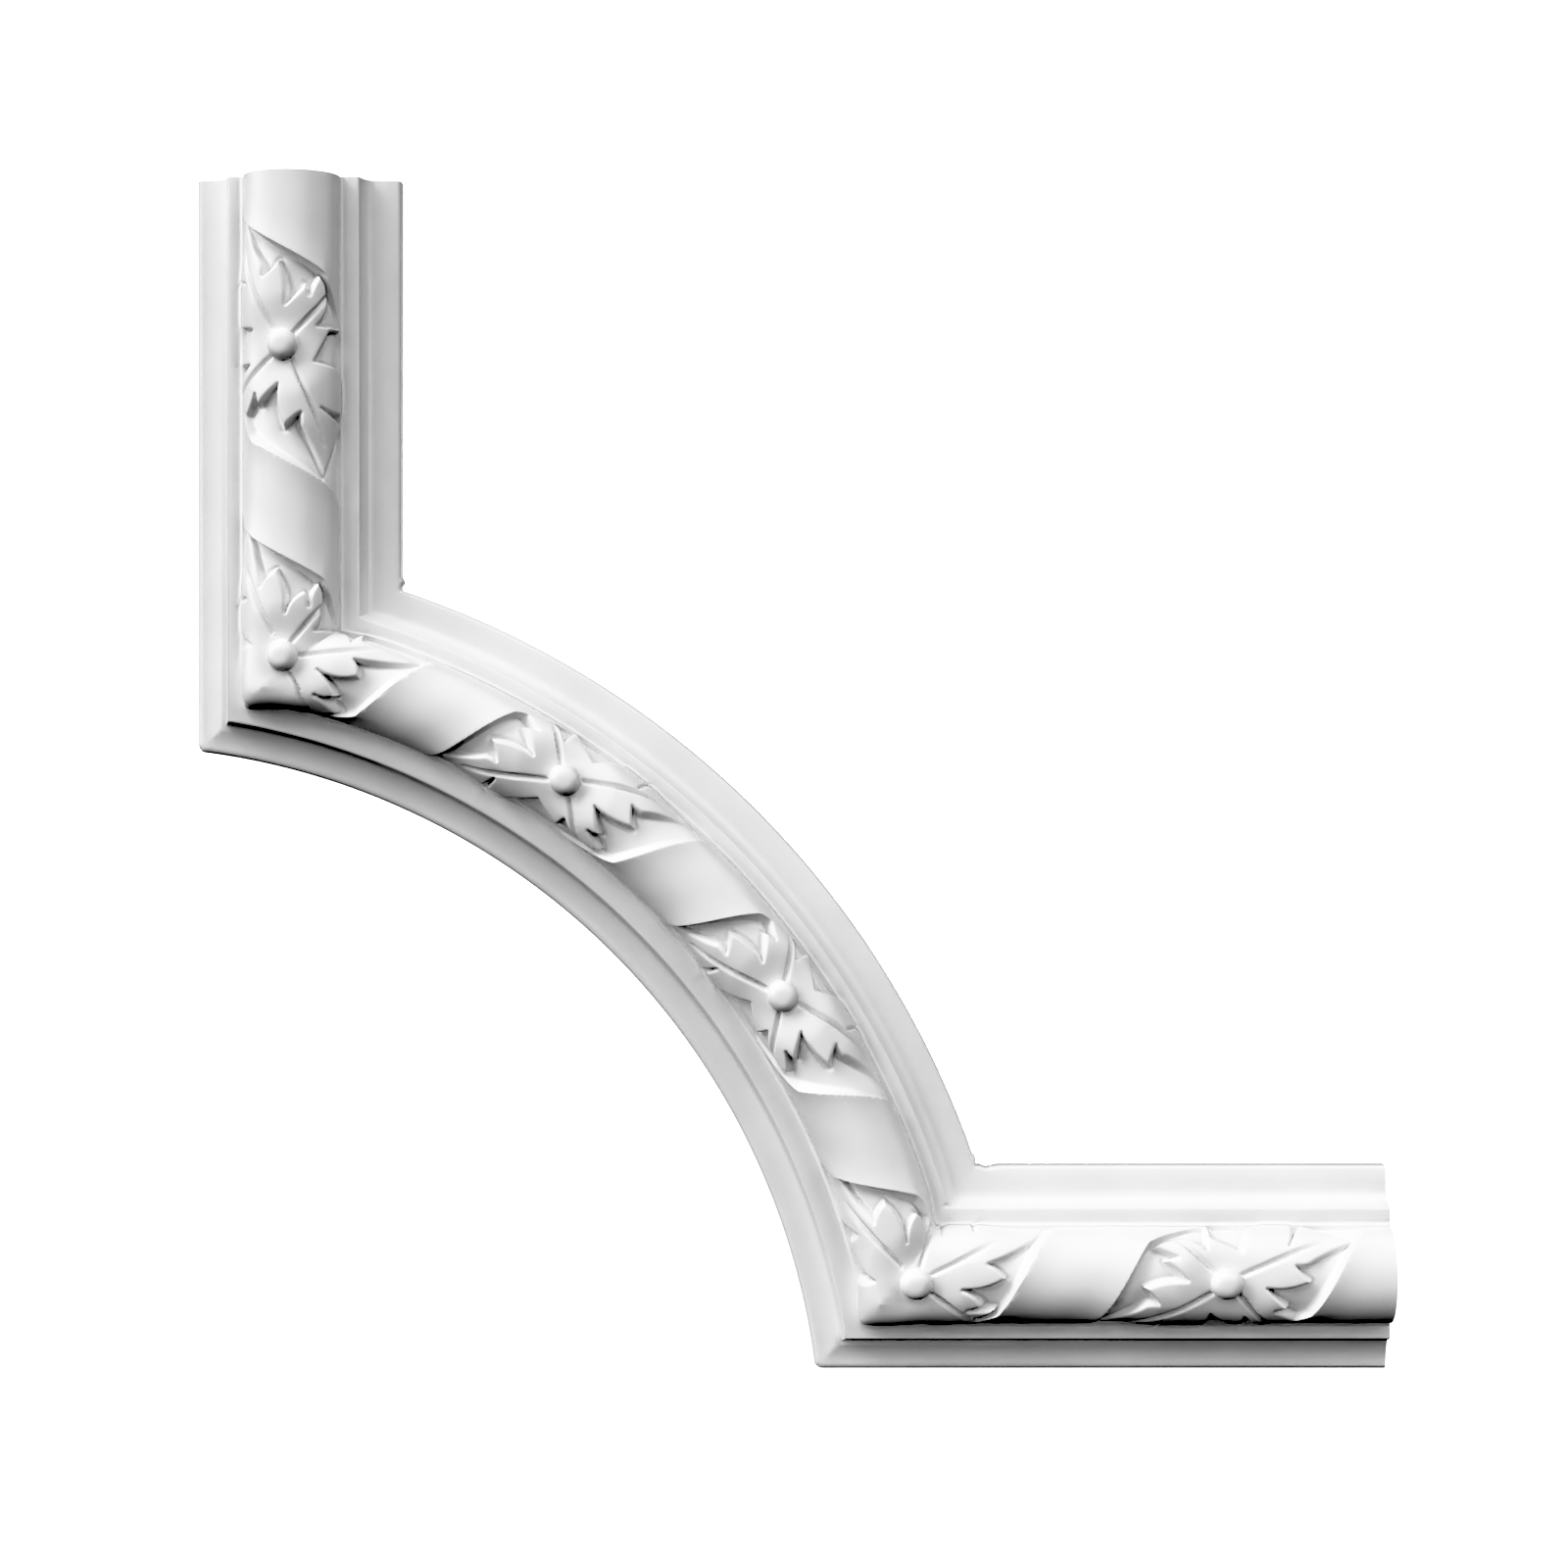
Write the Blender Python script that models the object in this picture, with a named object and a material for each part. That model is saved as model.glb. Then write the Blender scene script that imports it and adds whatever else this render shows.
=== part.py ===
"""Corner piece of a carved panel moulding: two straight legs, a scooped quarter arc and two mitred corners,
with a ribbon wound round its half-round rib and a four-leaved flower in each window of the ribbon."""

import math

import bmesh
import bpy
import numpy as np
from mathutils import Vector

MM = 0.001

# Plan, in millimetres from the centre of the scoop
WIDTH = 60.0
LEG_EDGE = 25.5
LEG_END = 375.5
SCOOP_RADIUS = 209.0
RIB_RADIUS = 239.7
CENTRE = (-169.0, -169.0)
CORNER_ROUND = 2.2
MITRE_SOFT = (1.3, 4.5)
CUT_SPARE = 3.0
BACK_SPARE = 1.5

# Section: t across from the outer edge, h out from the wall
EDGE_LEVEL = 4.6
COVE_END = 6.5
BAND_LEVEL = 10.0
BAND_START = 10.1
BAND_END = 48.6
LIP_START = 53.2
LIP_LEVEL = 5.0
LIP_ROUND = 1.7
RIB_RISE = 9.5
RIB_LEG = (14.9, 42.9)
RIB_ARC = (17.7, 43.9)
RIB_BLEND = 12.0
RIB_REACH = 18.8
BLOCK_REACH = (9.0, 25.0)
BLOCK_SQUARE = 0.38
QUIRK = ((0.4, 0.0),)

# Ribbon and the windows between its turns
GROUND_DEPTH = 2.0
GROUND_SCOUR = 0.55
RIBBON_LIFT = 0.75
RIBBON_SWEEP = 12.0
RIBBON_LEAN = 0.65
SPLAY = 2.5
WINDOW_HALF = 9.5
CORNER_CUT = 1.6
LEG_REACH = (-27.1, 33.4)
FAR_REACH = (-28.5, 31.0)
ARC_REACH = (-28.2, 32.2)
CORNER_REACH = (((-27.8, 33.0), (-28.0, 31.7)), ((-29.3, 32.0), (-28.0, 30.2)))

# Leaves and folds
LEAF_LOW = -1.2
LEAF_HIGH = 0.5
LEAF_DROP = 1.2
LEAF_ROUND = 1.6
FOLD_UNDER = 0.6
FOLD_OVER = 1.5
UNDERCUT = 0.45

# Beads: height up the leg, or degrees round the scoop from the upright
BEAD_RADIUS = 4.6
BEAD_STAND = 1.75
BEAD_LEG_T = 27.65
BEAD_ARC_T = 31.5
LEG_BEAD = 325.0
FAR_BEAD = 326.5
MITRE_BEADS = ((53.15, 235.05), (236.55, 53.2))
ARC_BEADS = (34.14, 55.41)

# Fineness of the carved face before and after thinning
ROW_STEP = 0.6
RIB_COLUMNS = 64
TRIANGLES = 9300

# Leaf tips and notches, along and across from the bead: (u, v, bulge to the next)
LEAF = (
    (-36.6, -12.3, 0.0),
    (-23.4, -5.7, 0.05),
    (-19.9, -5.5, -0.04),
    (-24.1, -0.9, 0.08),
    (-11.5, 1.2, -0.02),
    (-17.6, 6.9, 0.06),
    (-14.2, 7.9, 0.03),
    (-20.2, 10.6, 0.10),
)
SIDE = (
    (-15.2, 12.4, 0.12),
    (-5.6, 10.2, 0.02),
    (-5.2, 15.8, 0.0),
    (-4.2, 13.2, 0.0),
    (4.6, 9.4, 0.0),
    (6.4, 15.0, 0.03),
    (20.0, 15.8, 0.05),
    (18.2, 11.1, 0.06),
    (22.6, 15.6, 0.03),
)
ARC_SIDE = (
    (-15.2, 11.8, 0.10),
    (-6.2, 9.6, 0.0),
    (-5.0, 12.4, 0.04),
    (3.8, 9.2, 0.03),
    (12.5, 13.6, 0.08),
    (19.6, 14.8, 0.0),
    (18.0, 10.4, 0.06),
    (22.2, 14.8, 0.03),
)

# Folds between leaves: from, to, depth, the sheer side, how far it fades
FOLDS = (
    ((-5.0, -2.7), (-28.5, -11.8), 1.5, 1, 0.6),
    ((-3.6, 3.2), (-14.2, 12.1), 1.3, -1, 0.2),
)

# The flowers on the mitres, in plan
CORNER_LEAVES = (
    ((41.3, 271.0, 0.03), (47.1, 255.1, 0.12), (51.5, 259.6, 0.10), (54.3, 247.4, 0.12), (59.8, 253.6, 0.12),
     (60.9, 249.3, 0.10), (63.5, 256.4, 0.12), (64.3, 248.2, 0.12), (62.6, 242.5, 0.06), (70.8, 241.3, 0.10),
     (72.7, 239.2, 0.0), (75.3, 241.7, 0.0), (76.1, 239.5, 0.03), (92.5, 233.4, 0.04),
     (74.2, 233.8, 0.14), (75.3, 228.8, 0.12),
     (63.5, 231.0, 0.08), (68.3, 223.1, 0.12), (62.7, 223.8, 0.06), (68.6, 218.4, 0.10), (60.6, 219.0, 0.0),
     (58.0, 212.0, 0.0), (36.0, 212.0, 0.0), (36.0, 237.0, 0.0), (43.2, 238.0, 0.12), (39.0, 251.0, 0.0),
     (42.2, 251.8, 0.0), (38.5, 253.5, 0.0), (38.5, 266.0, 0.0)),
    ((211.5, 86.0, -0.02), (224.3, 71.1, 0.10), (227.4, 77.3, 0.10), (233.8, 65.4, 0.12), (236.4, 74.0, 0.12),
     (239.5, 68.9, -0.12), (238.1, 78.0, 0.12), (241.7, 71.5, 0.12), (244.2, 66.8, 0.0), (245.3, 69.8, 0.0),
     (252.6, 69.6, 0.0), (253.4, 67.6, 0.0), (254.7, 70.0, 0.0), (276.0, 70.4, 0.06), (257.2, 59.2, 0.10),
     (262.2, 55.0, 0.08), (249.9, 51.7, 0.10), (255.5, 46.8, 0.08), (251.6, 45.5, 0.0), (259.2, 45.4, 0.08),
     (254.0, 42.6, 0.0), (252.0, 37.0, 0.0), (216.0, 37.0, 0.0), (216.0, 53.0, 0.0), (224.3, 53.9, 0.0),
     (220.7, 58.0, 0.06), (217.6, 65.0, 0.0), (219.6, 67.2, 0.0), (214.5, 70.5, 0.0), (208.0, 80.0, 0.0)),
)
CORNER_FOLDS = (
    (((50.2, 241.6), (41.2, 263.0), 1.2, 1, 1.0), ((55.6, 239.2), (63.9, 249.2), 1.3, -1, 0.2),
     ((57.4, 234.9), (84.0, 237.0), 1.3, 1, 1.0), ((55.5, 229.6), (61.0, 219.8), 1.1, -1, 0.2)),
    (((232.4, 58.6), (214.5, 78.0), 1.2, 1, 1.0), ((237.7, 58.6), (241.6, 71.8), 1.3, -1, 0.2),
     ((241.6, 56.0), (262.0, 66.0), 1.3, 1, 1.0), ((241.2, 50.2), (252.6, 43.2), 1.3, -1, 0.2)),
)


def smooth(low, high, value):
    part = np.clip((value - low) / (high - low), 0.0, 1.0)
    return part * part * (3.0 - 2.0 * part)


def mitre_up(t):
    """How far along a leg, from the scoop's centre, the mitre crosses the line t."""
    return np.sqrt((SCOOP_RADIUS + t) ** 2 - (LEG_EDGE + t) ** 2)


def mitre_angle(t):
    return np.arcsin((LEG_EDGE + t) / (SCOOP_RADIUS + t))


def plan(arm, share, t):
    """Plan position of points on one arm, share of the way along it, on the line t."""
    if arm == 0:
        z = (LEG_END + CUT_SPARE) + share * (mitre_up(t) - LEG_END - CUT_SPARE)
        return LEG_EDGE + t + 0.0 * share, z
    if arm == 2:
        x = mitre_up(t) + share * (LEG_END + CUT_SPARE - mitre_up(t))
        return x, LEG_EDGE + t + 0.0 * share
    angle = mitre_angle(t) + share * (math.pi / 2.0 - 2.0 * mitre_angle(t))
    return (SCOOP_RADIUS + t) * np.sin(angle), (SCOOP_RADIUS + t) * np.cos(angle)


def arc_reading(x, z):
    """Distance along the scoop's rib and the line t, of a plan position."""
    return np.arctan2(x, z) * RIB_RADIUS, np.hypot(x, z) - SCOOP_RADIUS


def mitre_distance(arm, share, t):
    """Distance along the line t from the nearer mitre."""
    x, z = plan(arm, share, t)
    if arm == 0:
        return z - mitre_up(t)
    if arm == 2:
        return x - mitre_up(t)
    angle = np.arctan2(x, z)
    return np.minimum(angle - mitre_angle(t), math.pi / 2.0 - mitre_angle(t) - angle) * RIB_RADIUS


def rounded(corner, before, after, radius, steps=4):
    """Points round a softened arris, between two directions leaving it."""
    c, a, b = (Vector(p) for p in (corner, before, after))
    start, end = c + a.normalized() * radius, c + b.normalized() * radius
    return [tuple(start.lerp(c, k / steps).lerp(c.lerp(end, k / steps), k / steps)) for k in range(steps + 1)]


def section_before():
    """From the wall up to the rib's outer foot: side, cove, step and band."""
    points = [(0.0, -BACK_SPARE), (0.0, 1.0)]
    points += rounded((0.0, EDGE_LEVEL), (0.0, -1.0), (1.0, 0.0), 1.9)
    for k in range(1, 13):
        f = k / 12.0
        points.append((1.9 + (BAND_START - 3.1) * f, EDGE_LEVEL + (COVE_END - EDGE_LEVEL) * f**1.6))
    points += [(BAND_START - 0.95, COVE_END + 0.4)]
    points += rounded((BAND_START, BAND_LEVEL), (-0.28, -1.0), (1.0, 0.0), 0.7)
    points += [(BAND_START + 2.0, BAND_LEVEL)]
    return points


def section_after():
    """From the rib's inner foot to the wall: band, cavetto, lip and rounded edge."""
    points = [(BAND_END - back, BAND_LEVEL) for back in (1.9, 1.5, 1.1)]
    points += rounded((BAND_END, BAND_LEVEL), (-1.0, 0.0), (0.12, -1.0), 0.7)
    top, start = points[-1][1], points[-1][0]
    for k in range(1, 13):
        f = k / 12.0
        points.append((start + (LIP_START - start) * f, LIP_LEVEL + (top - LIP_LEVEL) * (1.0 - f) ** 3.2))
    points.append((LIP_START + 2.5, LIP_LEVEL - 0.1))
    points += rounded((WIDTH, LIP_LEVEL - 0.3), (-1.0, 0.0), (0.0, -1.0), LIP_ROUND, 7)
    points += [(WIDTH, 1.0), (WIDTH, -BACK_SPARE)]
    return points


def rib_span(past_mitre):
    share = smooth(0.0, RIB_BLEND, past_mitre)
    return tuple(a + (b - a) * share for a, b in zip(RIB_LEG, RIB_ARC))


def unrolled(t, feet):
    """Distance round the rib from its crown; beyond a foot it carries straight on."""
    middle, half = (feet[0] + feet[1]) / 2.0, (feet[1] - feet[0]) / 2.0
    v = np.asarray(t) - middle
    return np.arcsin(np.clip(v / half, -1.0, 1.0)) * RIB_REACH * 2.0 / math.pi + v - np.clip(v, -half, half)


def window(u, w, reach):
    """Depth of the window's ground, the share of it reached at a point, and the ribbon's lift there."""
    right, left = (np.maximum(side * w - WINDOW_HALF, 0.0) for side in (1, -1))
    near = u - RIBBON_LEAN * w - reach[0] - CORNER_CUT * right**2 / (right + 1.5)
    far = reach[1] - u + RIBBON_LEAN * w - CORNER_CUT * left**2 / (left + 1.5)
    flank = 1.0 - 0.5 * smooth(8.0, 16.0, np.abs(w))
    splayed = 1.0 - (1.0 - np.clip((far + 0.15) / SPLAY, 0.0, 1.0)) ** 1.7
    sunk = smooth(-0.8, 0.7, near) * splayed
    lift = sum(np.clip(1.0 + d / RIBBON_SWEEP, 0.0, 1.0) ** 2.5 * (d < 0.9) for d in (near, far))
    ground = (GROUND_DEPTH + GROUND_SCOUR * np.exp(-np.maximum(near, 0.0) / 2.5)) * flank
    return ground, sunk, RIBBON_LIFT * lift * (1.0 - smooth(10.0, 17.0, np.abs(w))) * (1.0 - sunk)


def turned(points):
    """The same points half a turn round the bead."""
    return tuple((-p[0], -p[1]) + tuple(p[2:]) for p in points)


def bowed(outline, steps=5):
    """A closed outline whose sides bow outwards by their own share of their length."""
    points = []
    for i, (u, v, bulge) in enumerate(outline):
        u2, v2 = outline[(i + 1) % len(outline)][:2]
        for k in range(steps if bulge else 1):
            f = k / steps
            push = 4.0 * f * (1.0 - f) * bulge
            points.append((u + (u2 - u) * f - (v2 - v) * push, v + (v2 - v) * f + (u2 - u) * push))
    return points


def segment_distance(u, w, a, b):
    """Distance to a segment, how far along it, and on which side, positive to the left."""
    du, dw = b[0] - a[0], b[1] - a[1]
    f = np.clip(((u - a[0]) * du + (w - a[1]) * dw) / (du * du + dw * dw + 1e-12), 0.0, 1.0)
    return np.hypot(u - a[0] - f * du, w - a[1] - f * dw), f, np.sign(du * (w - a[1]) - dw * (u - a[0]))


def inside_distance(u, w, points):
    """Distance to a closed outline, positive inside it."""
    best = np.full(u.shape, 1e9)
    odd = np.zeros(u.shape, bool)
    for i, a in enumerate(points):
        b = points[(i + 1) % len(points)]
        best = np.minimum(best, segment_distance(u, w, a, b)[0])
        if a[1] != b[1]:
            level = (a[1] > w) != (b[1] > w)
            odd ^= level & (u < (b[0] - a[0]) * (w - a[1]) / (b[1] - a[1]) + a[0])
    return np.where(odd, best, -best)


def fold_depth(u, w, folds):
    """Depth of the folds where a short leaf passes under a long one: sheer on the long leaf's side."""
    deep = np.zeros(u.shape)
    for a, b, depth, side, fade in folds:
        away, share, left = segment_distance(u, w, a, b)
        width = np.where(left * side > 0, FOLD_OVER, FOLD_UNDER)
        swell = (0.6 + 0.4 * np.sin(math.pi * share)) * (1.0 - fade * share**3)
        deep = np.maximum(deep, depth * swell * np.clip(1.0 - away / width, 0.0, 1.0) ** 1.2)
    return deep


def laid(points, bead_t, feet):
    return [(p[0], float(unrolled(bead_t + p[1], feet))) + tuple(p[2:]) for p in points]


def leaves(edge, fold, from_bead, ground):
    """How far the leaves stand off the ground: they rise from the bead and end in sheer rounded lobes."""
    top = LEAF_LOW + (LEAF_HIGH - LEAF_LOW) * smooth(4.0, 16.0, from_bead)
    top = top - LEAF_DROP * smooth(22.0, 36.0, from_bead)
    rim = 1.0 - (1.0 - np.clip((edge + 0.4) / LEAF_ROUND, 0.0, 1.0)) ** 3.2
    return np.maximum((top + ground) * rim - fold * smooth(0.0, 0.8, edge + 0.3), 0.0)


def carving(off_window, edge, fold, from_bead):
    """How far the carved surface stands off the plain rib by one window, its flower and its bead."""
    ground, sunk, lift = off_window
    undercut = UNDERCUT * np.exp(-(((edge + 0.8) / 0.6) ** 2)) * ground / GROUND_DEPTH
    off = lift + sunk * (leaves(edge, fold, from_bead, ground) - ground - undercut)
    dome = np.maximum(1.0 - (from_bead / BEAD_RADIUS) ** 3.4, 0.0) ** 0.5
    return np.maximum(off, BEAD_STAND - 3.4 + 3.4 * dome - 9.0 * (from_bead >= BEAD_RADIUS))


def away_from(x, z, bead):
    return np.hypot(x - bead[0], z - bead[1])


def whole_flower(u, w, from_bead, bead_t, feet, reach, side):
    edge = inside_distance(u, w, laid(bowed(LEAF + side + turned(LEAF) + turned(side)), bead_t, feet))
    folds = []
    for a, b, *rest in FOLDS:
        folds.append((*laid((a, b), bead_t, feet), *rest))
        folds.append((*laid(turned((a, b)), bead_t, feet), *rest))
    return carving(window(u, w, reach), edge, fold_depth(u, w, folds), from_bead)


def corner_flower(x, z, w, past, which):
    """A mitred corner's flower, laid out in plan, in a window that turns the corner with the ribbon."""
    bead = MITRE_BEADS[which]
    round_u = arc_reading(x, z)[0] - arc_reading(*bead)[0]
    straight_u = bead[1] - z if which == 0 else x - bead[0]
    before, after = (straight_u, round_u) if which == 0 else (round_u, straight_u)
    turn = smooth(-2.5, 2.5, past)
    one, two = (window(u, w, reach) for u, reach in zip((before, after), CORNER_REACH[which]))
    merged = [a + (b - a) * turn for a, b in zip(one, two)]
    edge = inside_distance(x, z, bowed(CORNER_LEAVES[which]))
    return carving(merged, edge, fold_depth(x, z, CORNER_FOLDS[which]), away_from(x, z, bead))


def rib_offset(arm, share, t, w):
    """The carving on one arm, where each flower has its own stretch of the rib."""
    x, z = (a + 0.0 * w for a in plan(arm, share, t))
    if arm == 1:
        along = np.arctan2(x, z)
        past = ((along - mitre_angle(t)) * RIB_RADIUS, (along - math.pi / 2.0 + mitre_angle(t)) * RIB_RADIUS)
        stops = [math.atan2(*MITRE_BEADS[0]), *map(math.radians, ARC_BEADS), math.atan2(*MITRE_BEADS[1])]
    else:
        along = -z if arm == 0 else x
        past = (mitre_up(t) - z, x - mitre_up(t))
        stops = [-LEG_BEAD, -MITRE_BEADS[0][1]] if arm == 0 else [MITRE_BEADS[1][0], FAR_BEAD]
    ends = [-1e9] + [(a + b) / 2.0 for a, b in zip(stops, stops[1:])] + [1e9]
    off = np.zeros(w.shape)
    leaning = along - RIBBON_LEAN * w / (RIB_RADIUS if arm == 1 else 1.0)
    for k, stop in enumerate(stops):
        part = (leaning >= ends[k]) & (leaning < ends[k + 1])
        px, pz, pw = x[part], z[part], w[part]
        if arm == 1 and k in (1, 2):
            radius = SCOOP_RADIUS + BEAD_ARC_T
            apart = away_from(px, pz, (radius * math.sin(stop), radius * math.cos(stop)))
            off[part] = whole_flower((along[part] - stop) * RIB_RADIUS, pw, apart, BEAD_ARC_T, RIB_ARC,
                                     ARC_REACH, ARC_SIDE)
        elif arm == 0 and k == 0:
            apart = away_from(px, pz, (LEG_EDGE + BEAD_LEG_T, LEG_BEAD))
            off[part] = whole_flower(LEG_BEAD - pz, pw, apart, BEAD_LEG_T, RIB_LEG, LEG_REACH, SIDE)
        elif arm == 2 and k == 1:
            apart = away_from(px, pz, (FAR_BEAD, LEG_EDGE + BEAD_LEG_T))
            off[part] = whole_flower(px - FAR_BEAD, pw, apart, BEAD_LEG_T, RIB_LEG, FAR_REACH, SIDE)
        else:
            which = 0 if arm == 0 or (arm == 1 and k == 0) else 1
            off[part] = corner_flower(px, pz, pw, (past[which] + 0.0 * w)[part], which)
    return off


def worn(arm, share, t):
    """The outer corners worn round."""
    left = np.clip(1.0 - mitre_distance(arm, share + 0.0 * t, t) / CORNER_ROUND, 0.0, 1.0) ** 2.2
    return t + 0.29 * CORNER_ROUND * left * (1.0 - smooth(0.0, 8.0, t))


def moulded_rows(arm, share):
    """Rows of points over one arm, column by column across the section."""
    rows = share.shape[0]
    past = np.zeros((rows, 1))
    if arm == 1:
        past = mitre_distance(arm, share[:, None], np.full((rows, 1), 29.0))
    feet = rib_span(past)
    theta = np.linspace(-math.pi / 2.0, math.pi / 2.0, RIB_COLUMNS + 1)[None, :]
    middle, half = (feet[0] + feet[1]) / 2.0, (feet[1] - feet[0]) / 2.0
    t = middle + half * np.sin(theta)
    block = 1.0 - smooth(*BLOCK_REACH, mitre_distance(arm, share[:, None], t))
    square = 1.0 - BLOCK_SQUARE * block * smooth(0.0, 0.4, -np.sin(theta))
    h = BAND_LEVEL + RIB_RISE * np.maximum(np.cos(theta), 0.0) ** square
    w = theta * RIB_REACH * 2.0 / math.pi + 0.0 * t
    off = rib_offset(arm, share[:, None] + 0.0 * t, t, w)
    plain = np.stack(plan(arm, share[:, None] + 0.0 * t, t), axis=-1)
    nt, nh = np.sin(theta) / half, np.cos(theta) / RIB_RISE
    size = np.hypot(nt, nh)
    t, h = t + off * nt / size, np.maximum(h + off * nh / size, BAND_LEVEL)
    sides = []
    for points in (section_before(), section_after()):
        sides.append([np.array([p[k] for p in points])[None, :] + np.zeros((rows, 1)) for k in (0, 1)])
    away, rise = (np.array([q[k] for q in QUIRK])[None, :] + np.zeros((rows, 1)) for k in (0, 1))
    near, far = np.minimum(feet[0], t[:, :1]), np.maximum(feet[1], t[:, -1:])
    free = smooth(*BLOCK_REACH, mitre_distance(arm, share[:, None], feet[0] + 0.0 * near))
    t = np.hstack([sides[0][0], near - away, t, (far + away)[:, ::-1], sides[1][0]])
    h = np.hstack([sides[0][1], BAND_LEVEL + rise * free, h, BAND_LEVEL + rise[:, ::-1], sides[1][1]])
    t = worn(arm, share[:, None], t)
    x, z = plan(arm, share[:, None] + 0.0 * t, t)
    return np.stack([x + CENTRE[0], -h, z + CENTRE[1]], axis=-1), plain


def softened(plain, spread):
    """How far each row of the plain rib moves when its mitres are rounded over this distance."""
    reach = int(3.0 * spread / ROW_STEP)
    weights = {k: math.exp(-0.5 * (k * ROW_STEP / spread) ** 2) for k in range(-reach, reach + 1)}
    moved = sum(g * np.roll(plain, k, axis=0) for k, g in weights.items()) / sum(weights.values()) - plain
    moved[:reach] = moved[-reach:] = 0.0
    return moved


def carved_sheet():
    """The whole front, end to end, as one sheet of rows."""
    blocks, plains = [], []
    for arm, length in enumerate((LEG_END - 231.0, 264.0, LEG_END - 231.0)):
        block, plain = moulded_rows(arm, np.linspace(0.0, 1.0, int(round(length / ROW_STEP)) + 1))
        blocks.append(block if arm == 0 else block[1:])
        plains.append(plain if arm == 0 else plain[1:])
    sheet, plain = np.concatenate(blocks), np.concatenate(plains)
    first = len(section_before()) + len(QUIRK)
    side = np.linspace(1.0, -1.0, RIB_COLUMNS + 1)[None, :, None]
    moved = [softened(plain, spread) * smooth(0.27, 0.5, side) for spread in MITRE_SOFT]
    sheet[:, first:first + RIB_COLUMNS + 1, 0::2] += moved[1] + (moved[0] - moved[1]) * np.abs(side) ** 3
    return sheet


def closed_sheet():
    """The sheet with its back and its two ends filled, spare on every side that is cut later."""
    sheet = carved_sheet()
    rows, columns = sheet.shape[:2]
    bm = bmesh.new()
    grid = bmesh.ops.create_grid(bm, x_segments=columns - 1, y_segments=rows - 1, size=0.5)
    for v in grid["verts"]:
        i = int(round((v.co.y + 0.5) * (rows - 1)))
        j = int(round((v.co.x + 0.5) * (columns - 1)))
        v.co = sheet[i, j] * MM
    behind = BACK_SPARE * MM - 1e-7
    sides = [e for e in bm.edges if e.is_boundary and all(v.co.y > behind for v in e.verts)]
    bmesh.ops.bridge_loops(bm, edges=sides)
    bmesh.ops.holes_fill(bm, edges=[e for e in bm.edges if e.is_boundary], sides=0)
    bmesh.ops.recalc_face_normals(bm, faces=bm.faces)
    return bm


def thinned(mesh, triangles):
    """The same surface in fewer triangles."""
    carrier = bpy.data.objects.new("carrier", mesh)
    bpy.context.scene.collection.objects.link(carrier)
    modifier = carrier.modifiers.new("fewer", "DECIMATE")
    modifier.ratio = triangles / sum(len(p.vertices) - 2 for p in mesh.polygons)
    modifier.use_collapse_triangulate = True
    fewer = bpy.data.meshes.new_from_object(carrier.evaluated_get(bpy.context.evaluated_depsgraph_get()))
    bpy.data.objects.remove(carrier, do_unlink=True)
    return fewer


def cut_square(bm, point, normal):
    """Everything beyond a plane cut away and the cut filled flat."""
    geometry = bm.verts[:] + bm.edges[:] + bm.faces[:]
    bmesh.ops.bisect_plane(bm, geom=geometry, dist=1e-6, plane_co=point, plane_no=normal, clear_outer=True)
    bmesh.ops.holes_fill(bm, edges=[e for e in bm.edges if e.is_boundary], sides=0)


def moulding(name, triangles):
    bm = closed_sheet()
    dense = bpy.data.meshes.new(name)
    bm.to_mesh(dense)
    bm.free()
    fewer = thinned(dense, triangles)
    bm = bmesh.new()
    bm.from_mesh(fewer)
    cut_square(bm, (0.0, 0.0, 0.0), (0.0, 1.0, 0.0))
    cut_square(bm, (0.0, 0.0, (CENTRE[1] + LEG_END) * MM), (0.0, 0.0, 1.0))
    cut_square(bm, ((CENTRE[0] + LEG_END) * MM, 0.0, 0.0), (1.0, 0.0, 0.0))
    bmesh.ops.remove_doubles(bm, verts=bm.verts, dist=1e-5)
    bmesh.ops.dissolve_degenerate(bm, edges=bm.edges, dist=1e-6)
    bmesh.ops.triangulate(bm, faces=bm.faces)
    bmesh.ops.recalc_face_normals(bm, faces=bm.faces)
    mesh = bpy.data.meshes.new(name)
    bm.to_mesh(mesh)
    bm.free()
    mesh.shade_smooth()
    mesh.set_sharp_from_angle(angle=math.radians(30.0))
    return bpy.data.objects.new(name, mesh)


def primed_white():
    """White priming coat over the foam, with a low sheen."""
    material = bpy.data.materials.new("primed_white")
    material.use_nodes = True
    shader = material.node_tree.nodes["Principled BSDF"]
    shader.inputs["Base Color"].default_value = (0.80, 0.80, 0.79, 1.0)
    shader.inputs["Roughness"].default_value = 0.45
    return material


for old in list(bpy.data.objects):
    bpy.data.objects.remove(old, do_unlink=True)

home = bpy.data.collections.new("corner_moulding")
bpy.context.scene.collection.children.link(home)
piece = moulding("corner_moulding", TRIANGLES)
piece.data.materials.append(primed_white())
home.objects.link(piece)
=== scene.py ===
import math

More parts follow.
